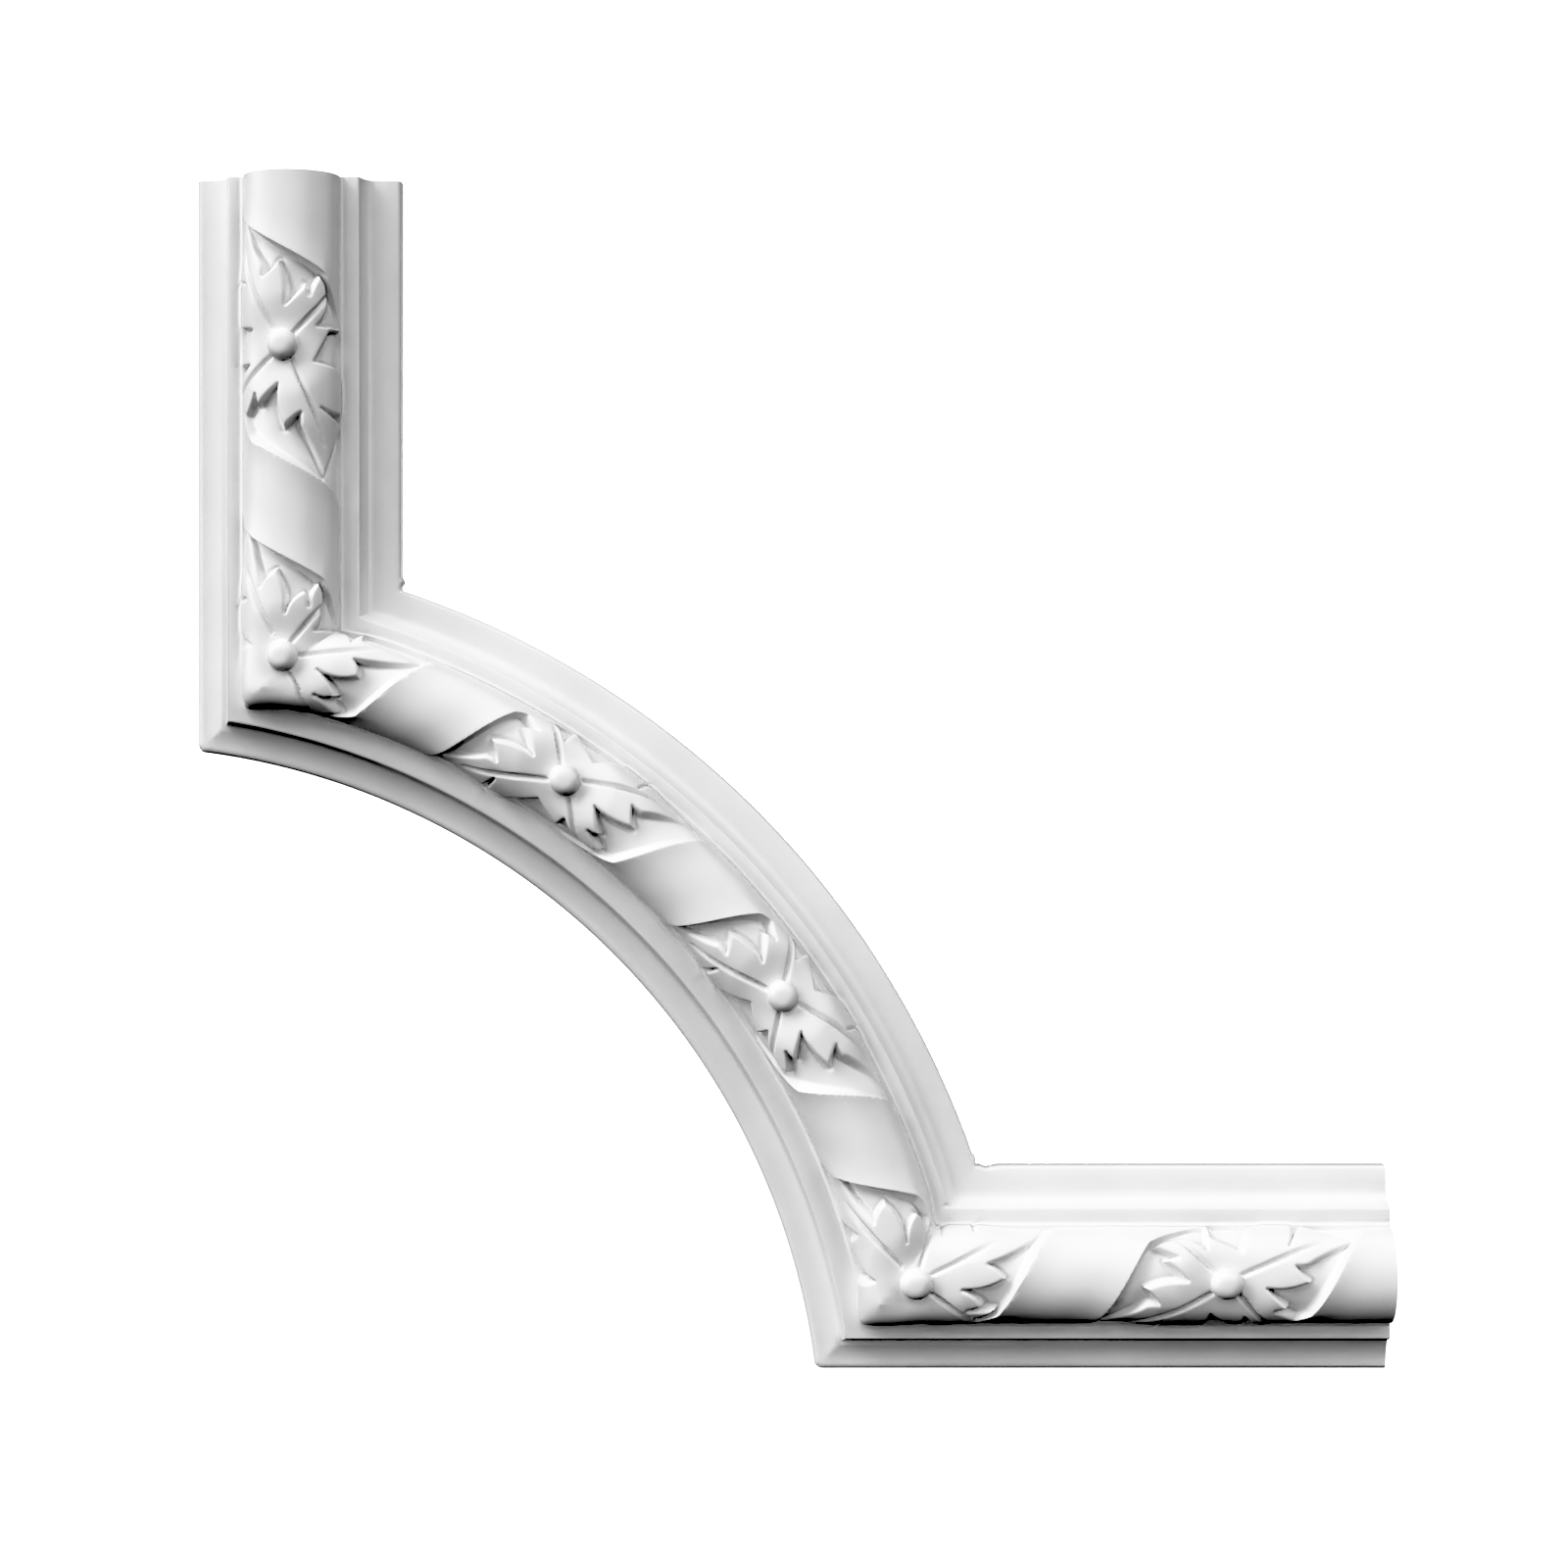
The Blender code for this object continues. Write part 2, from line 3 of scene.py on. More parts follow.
import bmesh
import bpy
import numpy as np
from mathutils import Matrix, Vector


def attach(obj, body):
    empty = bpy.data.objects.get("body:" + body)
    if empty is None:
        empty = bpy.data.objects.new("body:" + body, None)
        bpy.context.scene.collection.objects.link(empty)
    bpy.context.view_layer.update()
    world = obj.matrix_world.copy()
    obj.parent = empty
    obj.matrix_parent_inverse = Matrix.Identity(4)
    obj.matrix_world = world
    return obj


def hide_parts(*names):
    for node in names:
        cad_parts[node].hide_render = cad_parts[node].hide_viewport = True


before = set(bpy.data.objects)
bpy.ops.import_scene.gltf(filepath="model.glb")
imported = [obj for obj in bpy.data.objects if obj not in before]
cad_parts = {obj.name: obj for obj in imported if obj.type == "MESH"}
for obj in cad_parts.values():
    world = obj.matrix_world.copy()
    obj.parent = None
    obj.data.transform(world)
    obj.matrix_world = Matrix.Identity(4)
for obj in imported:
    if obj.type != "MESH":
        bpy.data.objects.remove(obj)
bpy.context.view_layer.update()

scene = bpy.context.scene
MM = 0.001

# The run: a straight leg down (arm 0), a quarter arc that scoops the panel's corner (arm 1) and a straight
# leg across (arm 2). They are poured in one mould, so they share one section and meet on true mitres. Sizes
# are in millimetres from the scoop's centre: t is across from the outer edge, and h out from the wall.
WIDTH = 60.0
LEG_EDGE = 25.5
LEG_END = 375.5
SCOOP_RADIUS = 209.0
RIB_RADIUS = 239.7
CENTRE = (-169.0, -169.0)
CUT_SPARE = 3.0
BACK_SPARE = 1.5


def smooth(low, high, value):
    """A soft step from 0 at the low value to 1 at the high one."""
    part = np.clip((value - low) / (high - low), 0.0, 1.0)
    return part * part * (3.0 - 2.0 * part)


def mitre_up(t):
    """How far along a leg, from the scoop's centre, the mitre crosses the line t."""
    return np.sqrt((SCOOP_RADIUS + t) ** 2 - (LEG_EDGE + t) ** 2)


def mitre_angle(t):
    """The angle round the scoop's centre, from the upright, where the mitre crosses the line t."""
    return np.arcsin((LEG_EDGE + t) / (SCOOP_RADIUS + t))


def plan(arm, share, t):
    """Plan position of points on one arm, share of the way along it, on the line t."""
    if arm == 0:
        z = (LEG_END + CUT_SPARE) + share * (mitre_up(t) - LEG_END - CUT_SPARE)
        return LEG_EDGE + t + 0.0 * share, z
    if arm == 2:
        x = mitre_up(t) + share * (LEG_END + CUT_SPARE - mitre_up(t))
        return x, LEG_EDGE + t + 0.0 * share
    angle = mitre_angle(t) + share * (math.pi / 2.0 - 2.0 * mitre_angle(t))
    return (SCOOP_RADIUS + t) * np.sin(angle), (SCOOP_RADIUS + t) * np.cos(angle)


def arc_reading(x, z):
    """Distance along the scoop's rib and the line t, of a plan position."""
    return np.arctan2(x, z) * RIB_RADIUS, np.hypot(x, z) - SCOOP_RADIUS


def mitre_distance(arm, share, t):
    """Distance along the line t from the nearer mitre."""
    x, z = plan(arm, share, t)
    if arm == 0:
        return z - mitre_up(t)
    if arm == 2:
        return x - mitre_up(t)
    angle = np.arctan2(x, z)
    return np.minimum(angle - mitre_angle(t), math.pi / 2.0 - mitre_angle(t) - angle) * RIB_RADIUS


# The moulded section, from the thin outer edge to the rounded inner lip: a shallow cove, a sharp step up to a
# flat band, the half-round rib, another narrow band, and a cavetto down to the lip. Its arrises are softened
# a little by the mould and the primer. The rib is slightly narrower round the scoop than on the legs, stands
# square in the outer angle of each mitre, and has a shallow groove and strip along each of its feet.
EDGE_LEVEL = 4.6
EDGE_ROUND = 1.9
COVE_END = 6.5
COVE_RUN = 7.0
BAND_LEVEL = 10.0
BAND_START = 10.1
BAND_END = 48.6
BAND_ROUND = 0.7
LIP_START = 53.2
LIP_LEVEL = 5.0
LIP_ROUND = 1.7
RIB_RISE = 9.5
RIB_LEG = (14.9, 42.9)
RIB_ARC = (17.7, 43.9)
RIB_BLEND = 12.0
RIB_MIDDLE = 29.0
RIB_REACH = 18.8
BLOCK_REACH = (9.0, 25.0)
BLOCK_SQUARE = 0.38
QUIRK = ((2.2, 0.0), (1.5, -0.26), (1.0, -0.26), (0.45, 0.12), (0.15, 0.05))


def rounded(corner, before, after, radius, steps=4):
    """Points round a softened arris, between two directions leaving it."""
    c, a, b = (Vector(p) for p in (corner, before, after))
    start, end = c + a.normalized() * radius, c + b.normalized() * radius
    return [tuple(start.lerp(c, k / steps).lerp(c.lerp(end, k / steps), k / steps)) for k in range(steps + 1)]


def section_before():
    """From the wall up to the rib's outer foot: side, cove, step and band."""
    points = [(0.0, -BACK_SPARE), (0.0, 1.0)]
    points += rounded((0.0, EDGE_LEVEL), (0.0, -1.0), (1.0, 0.0), EDGE_ROUND)
    for k in range(1, 13):
        f = k / 12.0
        points.append((EDGE_ROUND + COVE_RUN * f, EDGE_LEVEL + (COVE_END - EDGE_LEVEL) * f**1.6))
    points += [(BAND_START - 0.95, COVE_END + 0.4)]
    points += rounded((BAND_START, BAND_LEVEL), (-0.28, -1.0), (1.0, 0.0), BAND_ROUND)
    points += [(BAND_START + 2.0, BAND_LEVEL)]
    return points


def section_after():
    """From the rib's inner foot to the wall: band, cavetto, lip and rounded edge."""
    points = [(BAND_END - back, BAND_LEVEL) for back in (1.9, 1.5, 1.1)]
    points += rounded((BAND_END, BAND_LEVEL), (-1.0, 0.0), (0.12, -1.0), BAND_ROUND)
    start, top = points[-1]
    for k in range(1, 13):
        f = k / 12.0
        points.append((start + (LIP_START - start) * f, LIP_LEVEL + (top - LIP_LEVEL) * (1.0 - f) ** 3.2))
    points.append((LIP_START + 2.5, LIP_LEVEL - 0.1))
    points += rounded((WIDTH, LIP_LEVEL - 0.3), (-1.0, 0.0), (0.0, -1.0), LIP_ROUND, 7)
    points += [(WIDTH, 1.0), (WIDTH, -BACK_SPARE)]
    return points


def rib_span(past_mitre):
    """The lines of the rib's two feet: the leg's at the mitre, and the scoop's a little way past it."""
    share = smooth(0.0, RIB_BLEND, past_mitre)
    return tuple(a + (b - a) * share for a, b in zip(RIB_LEG, RIB_ARC))


def unrolled(t, feet):
    """Distance round the rib from its crown; beyond a foot it carries straight on."""
    middle, half = (feet[0] + feet[1]) / 2.0, (feet[1] - feet[0]) / 2.0
    v = np.asarray(t) - middle
    return np.arcsin(np.clip(v / half, -1.0, 1.0)) * RIB_REACH * 2.0 / math.pi + v - np.clip(v, -half, half)


# The ribbon: a broad flat ribbon wound round the rib, which leaves a slanting window between each two turns.
# Its upper edge stands over the window as a small wall, and its lower edge splays down into it as a cove.
GROUND_DEPTH = 2.0
GROUND_SCOUR = 0.55
RIBBON_LIFT = 0.75
RIBBON_SWEEP = 12.0
RIBBON_LEAN = 0.65
SPLAY = 2.5
WINDOW_HALF = 9.5
CORNER_CUT = 1.6


def window(u, w, reach):
    """Depth of the window's ground, the share of it reached at a point, and the ribbon's lift there."""
    right, left = (np.maximum(side * w - WINDOW_HALF, 0.0) for side in (1, -1))
    near = u - RIBBON_LEAN * w - reach[0] - CORNER_CUT * right**2 / (right + 1.5)
    far = reach[1] - u + RIBBON_LEAN * w - CORNER_CUT * left**2 / (left + 1.5)
    flank = 1.0 - 0.5 * smooth(8.0, 16.0, np.abs(w))
    splayed = 1.0 - (1.0 - np.clip((far + 0.15) / SPLAY, 0.0, 1.0)) ** 1.7
    sunk = smooth(-0.8, 0.7, near) * splayed
    lift = sum(np.clip(1.0 + d / RIBBON_SWEEP, 0.0, 1.0) ** 2.5 * (d < 0.9) for d in (near, far))
    ground = (GROUND_DEPTH + GROUND_SCOUR * np.exp(-np.maximum(near, 0.0) / 2.5)) * flank
    return ground, sunk, RIBBON_LIFT * lift * (1.0 - smooth(10.0, 17.0, np.abs(w))) * (1.0 - sunk)


# The flowers: four leaves round a bead in every window, two long ones along the run with three rounded lobes
# and a long tip, and two short ones that hang over the rib's sides and pass under the long ones. Half a turn
# round its bead brings a flower back onto itself. Those on the mitres are bent to follow both runs.
# An outline is a list of tips and notches, each with the bow of the side that follows it. A fold is a line
# between two points with its depth, its sheer side, and how far it fades.
LEAF_LOW = -1.2
LEAF_HIGH = 0.5
LEAF_DROP = 1.2
LEAF_ROUND = 1.6
FOLD_UNDER = 0.6
FOLD_OVER = 1.5
UNDERCUT = 0.45
BEAD_LEG_T = 27.65
BEAD_ARC_T = 31.5
LEG_BEAD = 325.0
FAR_BEAD = 326.5
MITRE_BEADS = ((53.15, 235.05), (236.55, 53.2))
ARC_BEADS = (34.14, 55.41)
LEG_REACH = (-27.1, 33.4)
FAR_REACH = (-28.5, 31.0)
ARC_REACH = (-28.2, 32.2)
CORNER_REACH = (((-27.8, 33.0), (-28.0, 31.7)), ((-29.3, 32.0), (-28.0, 30.2)))
LEAF = (
    (-36.6, -12.3, 0.0),
    (-23.4, -5.7, 0.05),
    (-19.9, -5.5, -0.04),
    (-24.1, -0.9, 0.08),
    (-11.5, 1.2, -0.02),
    (-17.6, 6.9, 0.06),
    (-14.2, 7.9, 0.03),
    (-20.2, 10.6, 0.10),
)
SIDE = (
    (-15.2, 12.4, 0.12),
    (-5.6, 10.2, 0.02),
    (-5.2, 15.8, 0.0),
    (-4.2, 13.2, 0.0),
    (4.6, 9.4, 0.0),
    (6.4, 15.0, 0.03),
    (20.0, 15.8, 0.05),
    (18.2, 11.1, 0.06),
    (22.6, 15.6, 0.03),
)
ARC_SIDE = (
    (-15.2, 11.8, 0.10),
    (-6.2, 9.6, 0.0),
    (-5.0, 12.4, 0.04),
    (3.8, 9.2, 0.03),
    (12.5, 13.6, 0.08),
    (19.6, 14.8, 0.0),
    (18.0, 10.4, 0.06),
    (22.2, 14.8, 0.03),
)
FOLDS = (
    ((-5.0, -2.7), (-28.5, -11.8), 1.5, 1, 0.6),
    ((-3.6, 3.2), (-14.2, 12.1), 1.3, -1, 0.2),
)
CORNER_LEAVES = (
    ((41.3, 271.0, 0.03), (47.1, 255.1, 0.12), (51.5, 259.6, 0.10), (54.3, 247.4, 0.12), (59.8, 253.6, 0.12),
     (60.9, 249.3, 0.10), (63.5, 256.4, 0.12), (64.3, 248.2, 0.12), (62.6, 242.5, 0.06), (70.8, 241.3, 0.10),
     (72.7, 239.2, 0.0), (75.3, 241.7, 0.0), (76.1, 239.5, 0.03), (92.5, 233.4, 0.04),
     (74.2, 233.8, 0.14), (75.3, 228.8, 0.12),
     (63.5, 231.0, 0.08), (68.3, 223.1, 0.12), (62.7, 223.8, 0.06), (68.6, 218.4, 0.10), (60.6, 219.0, 0.0),
     (58.0, 212.0, 0.0), (36.0, 212.0, 0.0), (36.0, 237.0, 0.0), (43.2, 238.0, 0.12), (39.0, 251.0, 0.0),
     (42.2, 251.8, 0.0), (38.5, 253.5, 0.0), (38.5, 266.0, 0.0)),
    ((211.5, 86.0, -0.02), (224.3, 71.1, 0.10), (227.4, 77.3, 0.10), (233.8, 65.4, 0.12), (236.4, 74.0, 0.12),
     (239.5, 68.9, -0.12), (238.1, 78.0, 0.12), (241.7, 71.5, 0.12), (244.2, 66.8, 0.0), (245.3, 69.8, 0.0),
     (252.6, 69.6, 0.0), (253.4, 67.6, 0.0), (254.7, 70.0, 0.0), (276.0, 70.4, 0.06), (257.2, 59.2, 0.10),
     (262.2, 55.0, 0.08), (249.9, 51.7, 0.10), (255.5, 46.8, 0.08), (251.6, 45.5, 0.0), (259.2, 45.4, 0.08),
     (254.0, 42.6, 0.0), (252.0, 37.0, 0.0), (216.0, 37.0, 0.0), (216.0, 53.0, 0.0), (224.3, 53.9, 0.0),
     (220.7, 58.0, 0.06), (217.6, 65.0, 0.0), (219.6, 67.2, 0.0), (214.5, 70.5, 0.0), (208.0, 80.0, 0.0)),
)
CORNER_FOLDS = (
    (((50.2, 241.6), (41.2, 263.0), 1.2, 1, 1.0), ((55.6, 239.2), (63.9, 249.2), 1.3, -1, 0.2),
     ((57.4, 234.9), (84.0, 237.0), 1.3, 1, 1.0), ((55.5, 229.6), (61.0, 219.8), 1.1, -1, 0.2)),
    (((232.4, 58.6), (214.5, 78.0), 1.2, 1, 1.0), ((237.7, 58.6), (241.6, 71.8), 1.3, -1, 0.2),
     ((241.6, 56.0), (262.0, 66.0), 1.3, 1, 1.0), ((241.2, 50.2), (252.6, 43.2), 1.3, -1, 0.2)),
)


def turned(points):
    """The same points half a turn round the bead."""
    return tuple((-p[0], -p[1]) + tuple(p[2:]) for p in points)


def bowed(outline, steps=5):
    """A closed outline whose sides bow outwards by their own share of their length."""
    points = []
    for i, (u, v, bulge) in enumerate(outline):
        u2, v2 = outline[(i + 1) % len(outline)][:2]
        for k in range(steps if bulge else 1):
            f = k / steps
            push = 4.0 * f * (1.0 - f) * bulge
            points.append((u + (u2 - u) * f - (v2 - v) * push, v + (v2 - v) * f + (u2 - u) * push))
    return points


def segment_distance(u, w, a, b):
    """Distance to a segment, how far along it, and on which side, positive to the left."""
    du, dw = b[0] - a[0], b[1] - a[1]
    f = np.clip(((u - a[0]) * du + (w - a[1]) * dw) / (du * du + dw * dw + 1e-12), 0.0, 1.0)
    return np.hypot(u - a[0] - f * du, w - a[1] - f * dw), f, np.sign(du * (w - a[1]) - dw * (u - a[0]))


def inside_distance(u, w, points):
    """Distance to a closed outline, positive inside it."""
    best = np.full(u.shape, 1e9)
    odd = np.zeros(u.shape, bool)
    for i, a in enumerate(points):
        b = points[(i + 1) % len(points)]
        best = np.minimum(best, segment_distance(u, w, a, b)[0])
        if a[1] != b[1]:
            level = (a[1] > w) != (b[1] > w)
            odd ^= level & (u < (b[0] - a[0]) * (w - a[1]) / (b[1] - a[1]) + a[0])
    return np.where(odd, best, -best)


def fold_depth(u, w, folds):
    """Depth of the folds where a short leaf passes under a long one: sheer on the long leaf's side."""
    deep = np.zeros(u.shape)
    for a, b, depth, side, fade in folds:
        away, share, left = segment_distance(u, w, a, b)
        width = np.where(left * side > 0, FOLD_OVER, FOLD_UNDER)
        swell = (0.6 + 0.4 * np.sin(math.pi * share)) * (1.0 - fade * share**3)
        deep = np.maximum(deep, depth * swell * np.clip(1.0 - away / width, 0.0, 1.0) ** 1.2)
    return deep


def laid(points, bead_t, feet):
    """Points drawn flat across from the bead, laid round the rib."""
    return [(p[0], float(unrolled(bead_t + p[1], feet))) + tuple(p[2:]) for p in points]


def leaves(edge, fold, from_bead, ground):
    """How far the leaves stand off the ground: they rise from the bead and end in sheer rounded lobes."""
    top = LEAF_LOW + (LEAF_HIGH - LEAF_LOW) * smooth(4.0, 16.0, from_bead)
    top = top - LEAF_DROP * smooth(22.0, 36.0, from_bead)
    rim = 1.0 - (1.0 - np.clip((edge + 0.4) / LEAF_ROUND, 0.0, 1.0)) ** 3.2
    return np.maximum((top + ground) * rim - fold * smooth(0.0, 0.8, edge + 0.3), 0.0)


# The beads: a small ball seated in the middle of each flower, cast with it.
BEAD_RADIUS = 4.6
BEAD_STAND = 1.7
BEAD_DOME = 3.4


def carving(off_window, edge, fold, from_bead):
    """How far the carved surface stands off the plain rib by one window, its flower and its bead."""
    ground, sunk, lift = off_window
    undercut = UNDERCUT * np.exp(-(((edge + 0.8) / 0.6) ** 2)) * ground / GROUND_DEPTH
    off = lift + sunk * (leaves(edge, fold, from_bead, ground) - ground - undercut)
    dome = np.maximum(1.0 - (from_bead / BEAD_RADIUS) ** 3.4, 0.0) ** 0.5
    return np.maximum(off, BEAD_STAND - BEAD_DOME + BEAD_DOME * dome - 9.0 * (from_bead >= BEAD_RADIUS))


def away_from(x, z, bead):
    return np.hypot(x - bead[0], z - bead[1])


def whole_flower(u, w, from_bead, bead_t, feet, reach, side):
    """A flower between the mitres, whose two halves are the same half turned."""
    edge = inside_distance(u, w, laid(bowed(LEAF + side + turned(LEAF) + turned(side)), bead_t, feet))
    folds = []
    for a, b, *rest in FOLDS:
        folds.append((*laid((a, b), bead_t, feet), *rest))
        folds.append((*laid(turned((a, b)), bead_t, feet), *rest))
    return carving(window(u, w, reach), edge, fold_depth(u, w, folds), from_bead)


def corner_flower(x, z, w, past, which):
    """A mitred corner's flower, laid out in plan, in a window that turns the corner with the ribbon."""
    bead = MITRE_BEADS[which]
    round_u = arc_reading(x, z)[0] - arc_reading(*bead)[0]
    straight_u = bead[1] - z if which == 0 else x - bead[0]
    before, after = (straight_u, round_u) if which == 0 else (round_u, straight_u)
    turn = smooth(-2.5, 2.5, past)
    one, two = (window(u, w, reach) for u, reach in zip((before, after), CORNER_REACH[which]))
    merged = [a + (b - a) * turn for a, b in zip(one, two)]
    edge = inside_distance(x, z, bowed(CORNER_LEAVES[which]))
    return carving(merged, edge, fold_depth(x, z, CORNER_FOLDS[which]), away_from(x, z, bead))


def rib_offset(arm, share, t, w):
    """The carving on one arm, where each flower has its own stretch of the rib."""
    x, z = (a + 0.0 * w for a in plan(arm, share, t))
    if arm == 1:
        along = np.arctan2(x, z)
        past = ((along - mitre_angle(t)) * RIB_RADIUS, (along - math.pi / 2.0 + mitre_angle(t)) * RIB_RADIUS)
        stops = [math.atan2(*MITRE_BEADS[0]), *map(math.radians, ARC_BEADS), math.atan2(*MITRE_BEADS[1])]
    else:
        along = -z if arm == 0 else x
        past = (mitre_up(t) - z, x - mitre_up(t))
        stops = [-LEG_BEAD, -MITRE_BEADS[0][1]] if arm == 0 else [MITRE_BEADS[1][0], FAR_BEAD]
    ends = [-1e9] + [(a + b) / 2.0 for a, b in zip(stops, stops[1:])] + [1e9]
    off = np.zeros(w.shape)
    leaning = along - RIBBON_LEAN * w / (RIB_RADIUS if arm == 1 else 1.0)
    for k, stop in enumerate(stops):
        part = (leaning >= ends[k]) & (leaning < ends[k + 1])
        px, pz, pw = x[part], z[part], w[part]
        if arm == 1 and k in (1, 2):
            radius = SCOOP_RADIUS + BEAD_ARC_T
            apart = away_from(px, pz, (radius * math.sin(stop), radius * math.cos(stop)))
            off[part] = whole_flower((along[part] - stop) * RIB_RADIUS, pw, apart, BEAD_ARC_T, RIB_ARC,
                                     ARC_REACH, ARC_SIDE)
        elif arm == 0 and k == 0:
            apart = away_from(px, pz, (LEG_EDGE + BEAD_LEG_T, LEG_BEAD))
            off[part] = whole_flower(LEG_BEAD - pz, pw, apart, BEAD_LEG_T, RIB_LEG, LEG_REACH, SIDE)
        elif arm == 2 and k == 1:
            apart = away_from(px, pz, (FAR_BEAD, LEG_EDGE + BEAD_LEG_T))
            off[part] = whole_flower(px - FAR_BEAD, pw, apart, BEAD_LEG_T, RIB_LEG, FAR_REACH, SIDE)
        else:
            which = 0 if arm == 0 or (arm == 1 and k == 0) else 1
            off[part] = corner_flower(px, pz, pw, (past[which] + 0.0 * w)[part], which)
    return off


# The casting: the section swept along the run with the carving on its rib, laid out as one fine sheet and
# closed behind. The back is flat for the adhesive and both ends are sawn square for the straight lengths.
# A mark is a plan position with its size and its push across and out. The rib's mitres are rounded on its
# outer side, less at the foot than above it.
RUN_LENGTHS = (144.5, 264.0, 144.5)
ROW_STEP = 0.29
RIB_COLUMNS = 124
TRIANGLES = 188000
CORNER_ROUND = 2.2
MITRE_SOFT = (1.3, 4.5)
MITRE_SIDE = (0.27, 0.5)
MARKS = (
    (85.5, 257.3, 0.8, 0.6, 0.0),
    (254.4, 87.4, 0.7, 0.5, 0.0),
    (258.5, 85.5, 1.8, -0.7, 0.0),
    (245.8, 74.6, 0.6, 0.0, -0.7),
)


def marked(arm, share, t, h):
    """The outer corners worn round, and the burrs, the dip and the pit of this one casting."""
    worn = np.clip(1.0 - mitre_distance(arm, share + 0.0 * t, t) / CORNER_ROUND, 0.0, 1.0) ** 2.2
    t = t + 0.29 * CORNER_ROUND * worn * (1.0 - smooth(0.0, 8.0, t))
    x, z = plan(arm, share + 0.0 * t, t)
    for px, pz, size, out, up in MARKS:
        near = np.exp(-((x - px) ** 2 + (z - pz) ** 2) / size**2)
        t, h = t + out * near, h + up * near
    return t, h


def moulded_rows(arm, share):
    """Rows of points over one arm, column by column across the section."""
    rows = share.shape[0]
    past = np.zeros((rows, 1))
    if arm == 1:
        past = mitre_distance(arm, share[:, None], np.full((rows, 1), RIB_MIDDLE))
    feet = rib_span(past)
    theta = np.linspace(-math.pi / 2.0, math.pi / 2.0, RIB_COLUMNS + 1)[None, :]
    middle, half = (feet[0] + feet[1]) / 2.0, (feet[1] - feet[0]) / 2.0
    t = middle + half * np.sin(theta)
    block = 1.0 - smooth(*BLOCK_REACH, mitre_distance(arm, share[:, None], t))
    square = 1.0 - BLOCK_SQUARE * block * smooth(0.0, 0.4, -np.sin(theta))
    h = BAND_LEVEL + RIB_RISE * np.maximum(np.cos(theta), 0.0) ** square
    w = theta * RIB_REACH * 2.0 / math.pi + 0.0 * t
    off = rib_offset(arm, share[:, None] + 0.0 * t, t, w)
    plain = np.stack(plan(arm, share[:, None] + 0.0 * t, t), axis=-1)
    nt, nh = np.sin(theta) / half, np.cos(theta) / RIB_RISE
    size = np.hypot(nt, nh)
    t, h = t + off * nt / size, np.maximum(h + off * nh / size, BAND_LEVEL)
    sides = []
    for points in (section_before(), section_after()):
        sides.append([np.array([p[k] for p in points])[None, :] + np.zeros((rows, 1)) for k in (0, 1)])
    away, rise = (np.array([q[k] for q in QUIRK])[None, :] + np.zeros((rows, 1)) for k in (0, 1))
    near, far = np.minimum(feet[0], t[:, :1]), np.maximum(feet[1], t[:, -1:])
    free = smooth(*BLOCK_REACH, mitre_distance(arm, share[:, None], feet[0] + 0.0 * near))
    t = np.hstack([sides[0][0], near - away, t, (far + away)[:, ::-1], sides[1][0]])
    h = np.hstack([sides[0][1], BAND_LEVEL + rise * free, h, BAND_LEVEL + rise[:, ::-1], sides[1][1]])
    t, h = marked(arm, share[:, None], t, h)
    x, z = plan(arm, share[:, None] + 0.0 * t, t)
    return np.stack([x + CENTRE[0], -h, z + CENTRE[1]], axis=-1), plain


def softened(plain, spread):
    """How far each row of the plain rib moves when its mitres are rounded over this distance."""
    reach = int(3.0 * spread / ROW_STEP)
    weights = {k: math.exp(-0.5 * (k * ROW_STEP / spread) ** 2) for k in range(-reach, reach + 1)}
    moved = sum(g * np.roll(plain, k, axis=0) for k, g in weights.items()) / sum(weights.values()) - plain
    moved[:reach] = moved[-reach:] = 0.0
    return moved


blocks, plains = [], []
for arm, length in enumerate(RUN_LENGTHS):
    block, plain = moulded_rows(arm, np.linspace(0.0, 1.0, int(round(length / ROW_STEP)) + 1))
    blocks.append(block if arm == 0 else block[1:])
    plains.append(plain if arm == 0 else plain[1:])
sheet, plain = np.concatenate(blocks), np.concatenate(plains)
first = len(section_before()) + len(QUIRK)
side = np.linspace(1.0, -1.0, RIB_COLUMNS + 1)[None, :, None]
moved = [softened(plain, spread) * smooth(*MITRE_SIDE, side) for spread in MITRE_SOFT]
sheet[:, first:first + RIB_COLUMNS + 1, 0::2] += moved[1] + (moved[0] - moved[1]) * np.abs(side) ** 3
sheet = sheet * MM
rows, columns = sheet.shape[:2]

bm = bmesh.new()
grid = bmesh.ops.create_grid(bm, x_segments=columns - 1, y_segments=rows - 1, size=0.5)
for v in grid["verts"]:
    v.co = sheet[int(round((v.co.y + 0.5) * (rows - 1))), int(round((v.co.x + 0.5) * (columns - 1)))]
behind = BACK_SPARE * MM - 1e-7
sides = [e for e in bm.edges if e.is_boundary and all(v.co.y > behind for v in e.verts)]
bmesh.ops.bridge_loops(bm, edges=sides)
bmesh.ops.holes_fill(bm, edges=[e for e in bm.edges if e.is_boundary], sides=0)
bmesh.ops.recalc_face_normals(bm, faces=bm.faces)
dense = bpy.data.meshes.new("casting_dense")
bm.to_mesh(dense)
bm.free()

carrier = bpy.data.objects.new("casting_dense", dense)
scene.collection.objects.link(carrier)
fewer = carrier.modifiers.new("fewer", "DECIMATE")
fewer.ratio = TRIANGLES / sum(len(p.vertices) - 2 for p in dense.polygons)
fewer.use_collapse_triangulate = True
thinned = bpy.data.meshes.new_from_object(carrier.evaluated_get(bpy.context.evaluated_depsgraph_get()))
bpy.data.objects.remove(carrier, do_unlink=True)

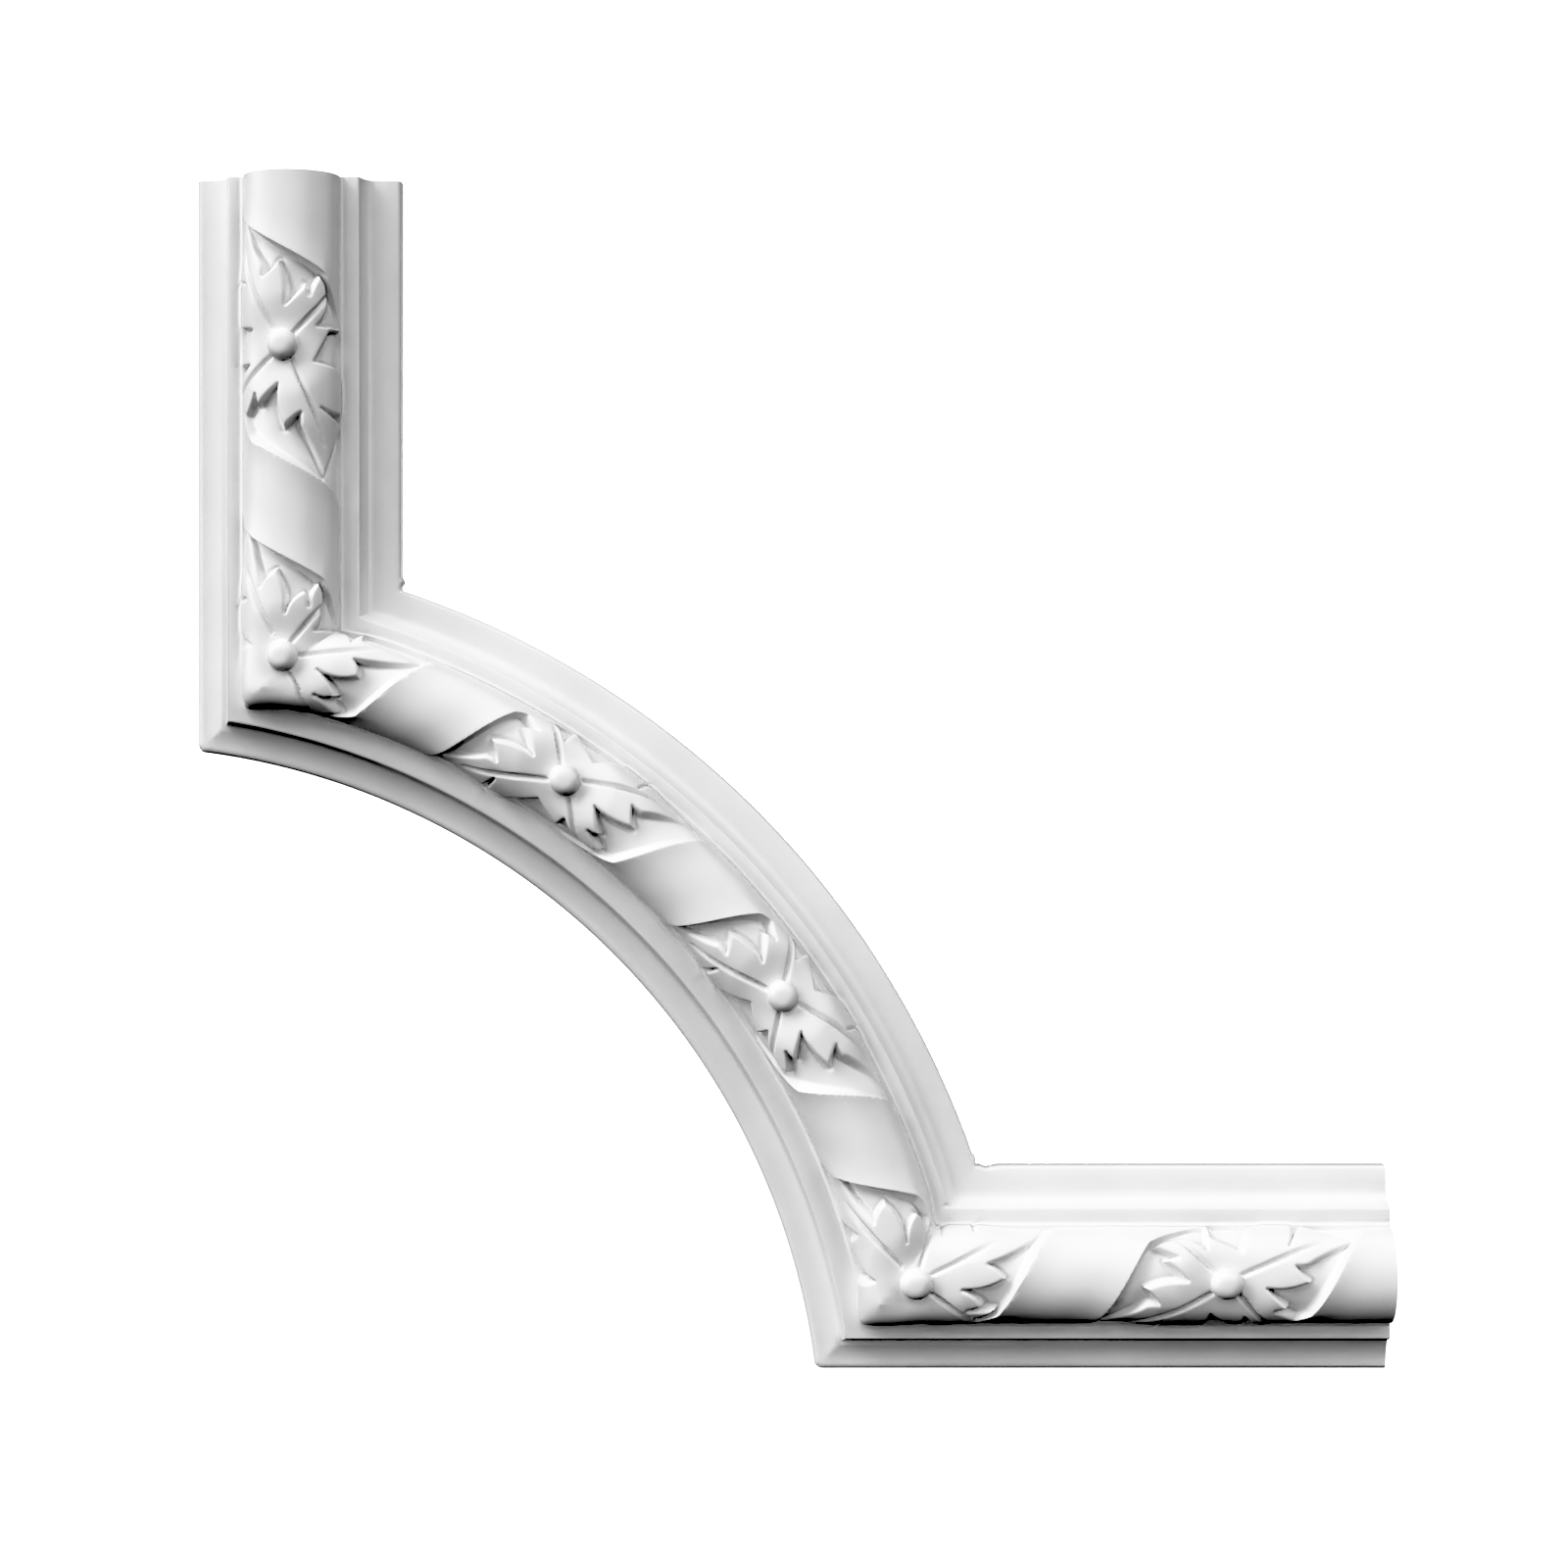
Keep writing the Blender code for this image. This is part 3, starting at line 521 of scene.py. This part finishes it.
bm = bmesh.new()
bm.from_mesh(thinned)
for point, normal in (((0.0, 0.0, 0.0), (0.0, 1.0, 0.0)),
                      ((0.0, 0.0, (CENTRE[1] + LEG_END) * MM), (0.0, 0.0, 1.0)),
                      (((CENTRE[0] + LEG_END) * MM, 0.0, 0.0), (1.0, 0.0, 0.0))):
    geometry = bm.verts[:] + bm.edges[:] + bm.faces[:]
    bmesh.ops.bisect_plane(bm, geom=geometry, dist=1e-6, plane_co=point, plane_no=normal, clear_outer=True)
    bmesh.ops.holes_fill(bm, edges=[e for e in bm.edges if e.is_boundary], sides=0)
bmesh.ops.triangulate(bm, faces=bm.faces)
bmesh.ops.recalc_face_normals(bm, faces=bm.faces)
cast_mesh = bpy.data.meshes.new("corner_casting")
bm.to_mesh(cast_mesh)
bm.free()
cast_mesh.shade_smooth()
cast_mesh.set_sharp_from_angle(angle=math.radians(38.0))
casting = bpy.data.objects.new("corner_casting", cast_mesh)
scene.collection.objects.link(casting)

# White priming coat over the rigid foam, sprayed in the factory: even, with a low sheen.
primer = bpy.data.materials.new("primed_white")
primer.use_nodes = True
nodes, links = primer.node_tree.nodes, primer.node_tree.links
shader = nodes["Principled BSDF"]
place = nodes.new("ShaderNodeTexCoord")
cloud = nodes.new("ShaderNodeTexNoise")
cloud.inputs["Scale"].default_value = 38.0
cloud.inputs["Detail"].default_value = 4.0
links.new(place.outputs["Object"], cloud.inputs["Vector"])
tone = nodes.new("ShaderNodeMapRange")
tone.inputs["From Min"].default_value = 0.3
tone.inputs["From Max"].default_value = 0.7
tone.inputs["To Min"].default_value = 0.80
tone.inputs["To Max"].default_value = 0.84
links.new(cloud.outputs["Fac"], tone.inputs["Value"])
white = nodes.new("ShaderNodeCombineColor")
for channel in ("Red", "Green", "Blue"):
    links.new(tone.outputs["Result"], white.inputs[channel])
links.new(white.outputs["Color"], shader.inputs["Base Color"])
gloss = nodes.new("ShaderNodeMapRange")
gloss.inputs["To Min"].default_value = 0.50
gloss.inputs["To Max"].default_value = 0.38
links.new(cloud.outputs["Fac"], gloss.inputs["Value"])
links.new(gloss.outputs["Result"], shader.inputs["Roughness"])
grain = nodes.new("ShaderNodeTexNoise")
grain.inputs["Scale"].default_value = 1100.0
grain.inputs["Detail"].default_value = 3.0
links.new(place.outputs["Object"], grain.inputs["Vector"])
skin = nodes.new("ShaderNodeBump")
skin.inputs["Strength"].default_value = 0.06
skin.inputs["Distance"].default_value = 0.0004
links.new(grain.outputs["Fac"], skin.inputs["Height"])
links.new(skin.outputs["Normal"], shader.inputs["Normal"])
cast_mesh.materials.append(primer)

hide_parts("corner_moulding")
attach(casting, "root")

# The stage: a pale floor well below the piece, which hangs as it does on a wall.
bpy.ops.mesh.primitive_plane_add(size=1.5, location=(0.03, 0.0, -0.52))
floor = bpy.context.object
floor.name = "pale_floor"
pale = bpy.data.materials.new("pale_floor")
pale.use_nodes = True
pale.node_tree.nodes["Principled BSDF"].inputs["Base Color"].default_value = (0.82, 0.82, 0.82, 1.0)
pale.node_tree.nodes["Principled BSDF"].inputs["Roughness"].default_value = 0.9
floor.data.materials.append(pale)
floor.visible_diffuse = False
floor.visible_shadow = False

# Light: soft lamps fanned round the wall's plane, strongest from the upper left, with weaker ones from the
# right, the front and below, and two that show the back. Each has its angle round from straight up and out
# from the wall, its strength and its softness. The surround gives no light, and shows white to the camera.
world = bpy.data.worlds.new("surround")
scene.world = world
world.use_nodes = True
sky = world.node_tree
seen = sky.nodes.new("ShaderNodeLightPath")
clear = sky.nodes.new("ShaderNodeBackground")
clear.inputs["Color"].default_value = (1.0, 1.0, 1.0, 1.0)
clear.inputs["Strength"].default_value = 3.0
either = sky.nodes.new("ShaderNodeMixShader")
dim = sky.nodes["Background"]
dim.inputs["Color"].default_value = (1.0, 1.0, 1.0, 1.0)
dim.inputs["Strength"].default_value = 0.0
sky.links.new(seen.outputs["Is Camera Ray"], either.inputs["Fac"])
sky.links.new(dim.outputs["Background"], either.inputs[1])
sky.links.new(clear.outputs["Background"], either.inputs[2])
sky.links.new(either.outputs["Shader"], sky.nodes["World Output"].inputs["Surface"])
for name, round_by, out_by, power, spread in (
    ("left", -75.0, 20.0, 0.34, 18.0),
    ("upper_left", -50.0, 20.0, 0.62, 22.0),
    ("high_left", -25.0, 20.0, 0.29, 18.0),
    ("high_right", 25.0, 20.0, 0.24, 20.0),
    ("right", 60.0, 22.0, 0.52, 40.0),
    ("side", -97.0, 50.0, 0.27, 30.0),
    ("top", -10.0, 42.0, 0.22, 15.0),
    ("front", 30.0, 65.0, 0.15, 30.0),
    ("below", 180.0, 65.0, 0.24, 30.0),
    ("behind", 0.0, -90.0, 0.70, 8.0),
    ("right_behind", 80.0, -60.0, 0.28, 15.0),
):
    lamp = bpy.data.lights.new(name, "SUN")
    lamp.energy = power * math.pi
    lamp.angle = math.radians(spread)
    holder = bpy.data.objects.new(name, lamp)
    turn, out = math.radians(round_by), math.radians(out_by)
    towards = Vector((math.sin(turn) * math.cos(out), -math.sin(out), math.cos(turn) * math.cos(out)))
    holder.rotation_euler = (-towards).to_track_quat("-Z", "Y").to_euler()
    scene.collection.objects.link(holder)

# Camera: square on to the wall, level with the middle of the piece. The film holds the contrast of the
# photograph, with a soft shoulder in the whites.
lens = bpy.data.cameras.new("camera")
lens.lens = 57.0
lens.sensor_width = 36.0
camera = bpy.data.objects.new("camera", lens)
camera.location = (0.0293, -0.736, 0.0289)
camera.rotation_euler = (math.radians(90.0), 0.0, 0.0)
scene.collection.objects.link(camera)
scene.camera = camera
scene.view_settings.view_transform = "Standard"
scene.view_settings.use_curve_mapping = True
film = scene.view_settings.curve_mapping
film.black_level = (0.45, 0.45, 0.45)
film.white_level = (1.80, 1.80, 1.80)
for level, shown in ((0.3, 0.405), (0.6, 0.81), (0.74, 0.93)):
    film.curves[3].points.new(level, shown)
film.update()
